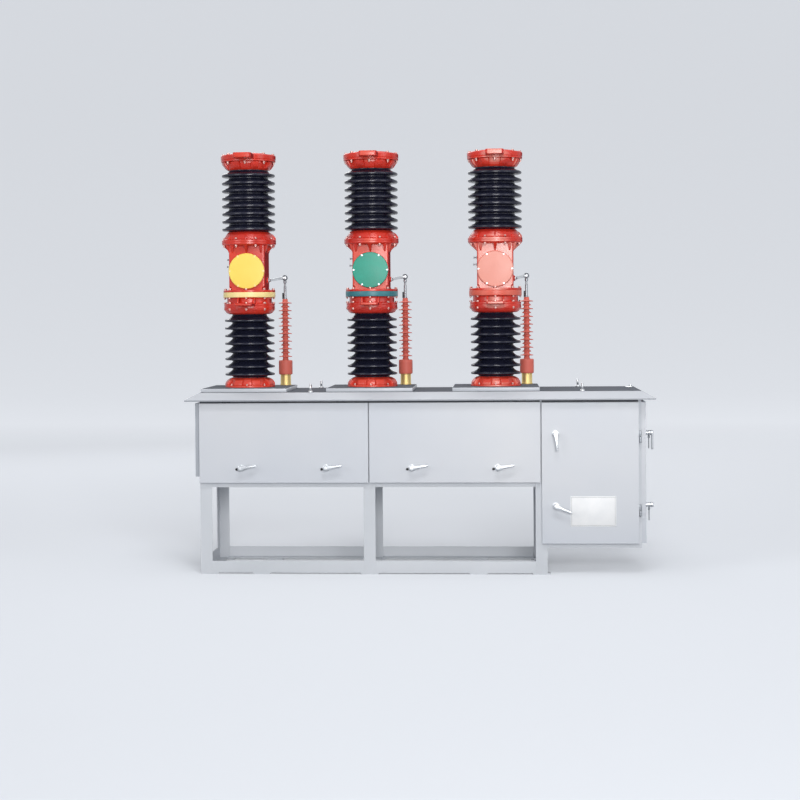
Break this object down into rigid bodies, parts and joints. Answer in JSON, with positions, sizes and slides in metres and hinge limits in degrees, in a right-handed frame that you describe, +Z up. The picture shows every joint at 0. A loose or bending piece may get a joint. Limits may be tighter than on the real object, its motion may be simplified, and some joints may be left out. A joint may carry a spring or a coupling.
{
  "type": "outdoor vacuum circuit breaker",
  "caption": "Outdoor high-voltage vacuum circuit breaker: red poles with dark shed insulators on a grey mechanism box with flap covers, a control cabinet and an angle-steel stand",
  "frame": {"origin": "on the ground, at the centre of the rectangle of four foundation bolt holes, below the middle pole", "axes": "+X along the row of poles towards the control cabinet, +Y from the front covers to the rear covers, +Z up along the poles"},
  "size_m": [2.58, 0.7938, 2.352],
  "materials": {
    "steel_frame": "pale grey paint on welded angle steel, satin, a little dusty",
    "grey_sheet": "smooth light grey powder coat on folded sheet, semi-gloss",
    "roof_sheet": "grey powder coat on the hipped sheet roof, semi-gloss with dust",
    "bright_steel": "bright plated steel, fine brushed grain",
    "handle_chrome": "die-cast lever plated in satin chrome",
    "red_casting": "glossy deep red enamel on cast aluminium, slight orange peel",
    "dark_insulator": "smooth navy-black silicone sheds with a soft gloss",
    "post_insulator_red": "dull brick-red composite sheds",
    "post_brass": "yellow chromated metal, satin",
    "yellow_paint": "glossy yellow phase paint",
    "green_paint": "glossy green phase paint",
    "salmon_paint": "glossy light red phase paint"
  },
  "bodies": {
    "frame": {"frame_posts": "steel_frame", "bottom_rails": "steel_frame", "middle_rails": "steel_frame", "top_rails": "steel_frame", "cabinet_rails": "steel_frame", "foot_pads": "steel_frame", "pole_beams": "steel_frame", "box_floor": "steel_frame", "rear_covers": "grey_sheet", "left_end_cover": "grey_sheet", "cabinet_panels": "grey_sheet", "cabinet_back_cover": "grey_sheet", "hinges": "steel_frame", "roof": "roof_sheet", "pole_plates": "steel_frame", "lifting_eyes": "bright_steel", "base_flanges": "red_casting", "upper_flanges": "red_casting", "lower_insulators": "dark_insulator", "upper_insulators": "dark_insulator", "lower_terminals": "red_casting", "housings": "red_casting", "left_phase_ring": "yellow_paint", "middle_phase_ring": "green_paint", "right_phase_ring": "salmon_paint", "left_housing_cover": "yellow_paint", "middle_housing_cover": "green_paint", "right_housing_cover": "salmon_paint", "top_terminals": "red_casting", "post_bases": "post_brass", "post_insulators": "post_insulator_red", "post_rods": "bright_steel", "link_arms": "bright_steel"},
    "left_front_cover": {"left_front_cover": "grey_sheet"},
    "right_front_cover": {"right_front_cover": "grey_sheet"},
    "cabinet_door": {"cabinet_door": "grey_sheet", "nameplate": "bright_steel"},
    "side_door": {"side_door": "grey_sheet"},
    "left_cover_left_handle": {"left_cover_left_handle": "handle_chrome"},
    "left_cover_right_handle": {"left_cover_right_handle": "handle_chrome"},
    "right_cover_left_handle": {"right_cover_left_handle": "handle_chrome"},
    "right_cover_right_handle": {"right_cover_right_handle": "handle_chrome"},
    "cabinet_door_upper_handle": {"cabinet_door_upper_handle": "handle_chrome"},
    "cabinet_door_lower_handle": {"cabinet_door_lower_handle": "handle_chrome"},
    "side_door_upper_handle": {"side_door_upper_handle": "handle_chrome"},
    "side_door_lower_handle": {"side_door_lower_handle": "handle_chrome"}
  },
  "joints": [
    {"name": "left_front_cover_hinge", "type": "hinge", "parent": "frame", "child": "left_front_cover", "pos_m": [-0.4715, -0.336, 0.954], "axis": [-1, 0, 0], "range_deg": [0, 65]},
    {"name": "right_front_cover_hinge", "type": "hinge", "parent": "frame", "child": "right_front_cover", "pos_m": [0.4715, -0.336, 0.954], "axis": [-1, 0, 0], "range_deg": [0, 65]},
    {"name": "cabinet_door_hinge", "type": "hinge", "parent": "frame", "child": "cabinet_door", "pos_m": [1.482, -0.352, 0.557], "axis": [0, 0, 1], "range_deg": [0, 110]},
    {"name": "side_door_hinge", "type": "hinge", "parent": "frame", "child": "side_door", "pos_m": [1.512, 0.32, 0.557], "axis": [0, 0, 1], "range_deg": [0, 110]},
    {"name": "left_cover_left_handle_pivot", "type": "hinge", "parent": "left_front_cover", "child": "left_cover_left_handle", "pos_m": [-0.708, -0.3558, 0.59], "axis": [0, -1, 0], "range_deg": [-90, 0]},
    {"name": "left_cover_right_handle_pivot", "type": "hinge", "parent": "left_front_cover", "child": "left_cover_right_handle", "pos_m": [-0.236, -0.3558, 0.59], "axis": [0, -1, 0], "range_deg": [-90, 0]},
    {"name": "right_cover_left_handle_pivot", "type": "hinge", "parent": "right_front_cover", "child": "right_cover_left_handle", "pos_m": [0.236, -0.3558, 0.59], "axis": [0, -1, 0], "range_deg": [-90, 0]},
    {"name": "right_cover_right_handle_pivot", "type": "hinge", "parent": "right_front_cover", "child": "right_cover_right_handle", "pos_m": [0.708, -0.3558, 0.59], "axis": [0, -1, 0], "range_deg": [-90, 0]},
    {"name": "cabinet_door_upper_handle_pivot", "type": "hinge", "parent": "cabinet_door", "child": "cabinet_door_upper_handle", "pos_m": [1.023, -0.3558, 0.774], "axis": [0, -1, 0], "range_deg": [0, 90]},
    {"name": "cabinet_door_lower_handle_pivot", "type": "hinge", "parent": "cabinet_door", "child": "cabinet_door_lower_handle", "pos_m": [1.023, -0.3558, 0.379], "axis": [0, -1, 0], "range_deg": [-68, 22]},
    {"name": "side_door_upper_handle_pivot", "type": "hinge", "parent": "side_door", "child": "side_door_upper_handle", "pos_m": [1.5158, -0.27, 0.774], "axis": [1, 0, 0], "range_deg": [0, 90]},
    {"name": "side_door_lower_handle_pivot", "type": "hinge", "parent": "side_door", "child": "side_door_lower_handle", "pos_m": [1.5158, -0.27, 0.379], "axis": [1, 0, 0], "range_deg": [-90, 0]}
  ]
}
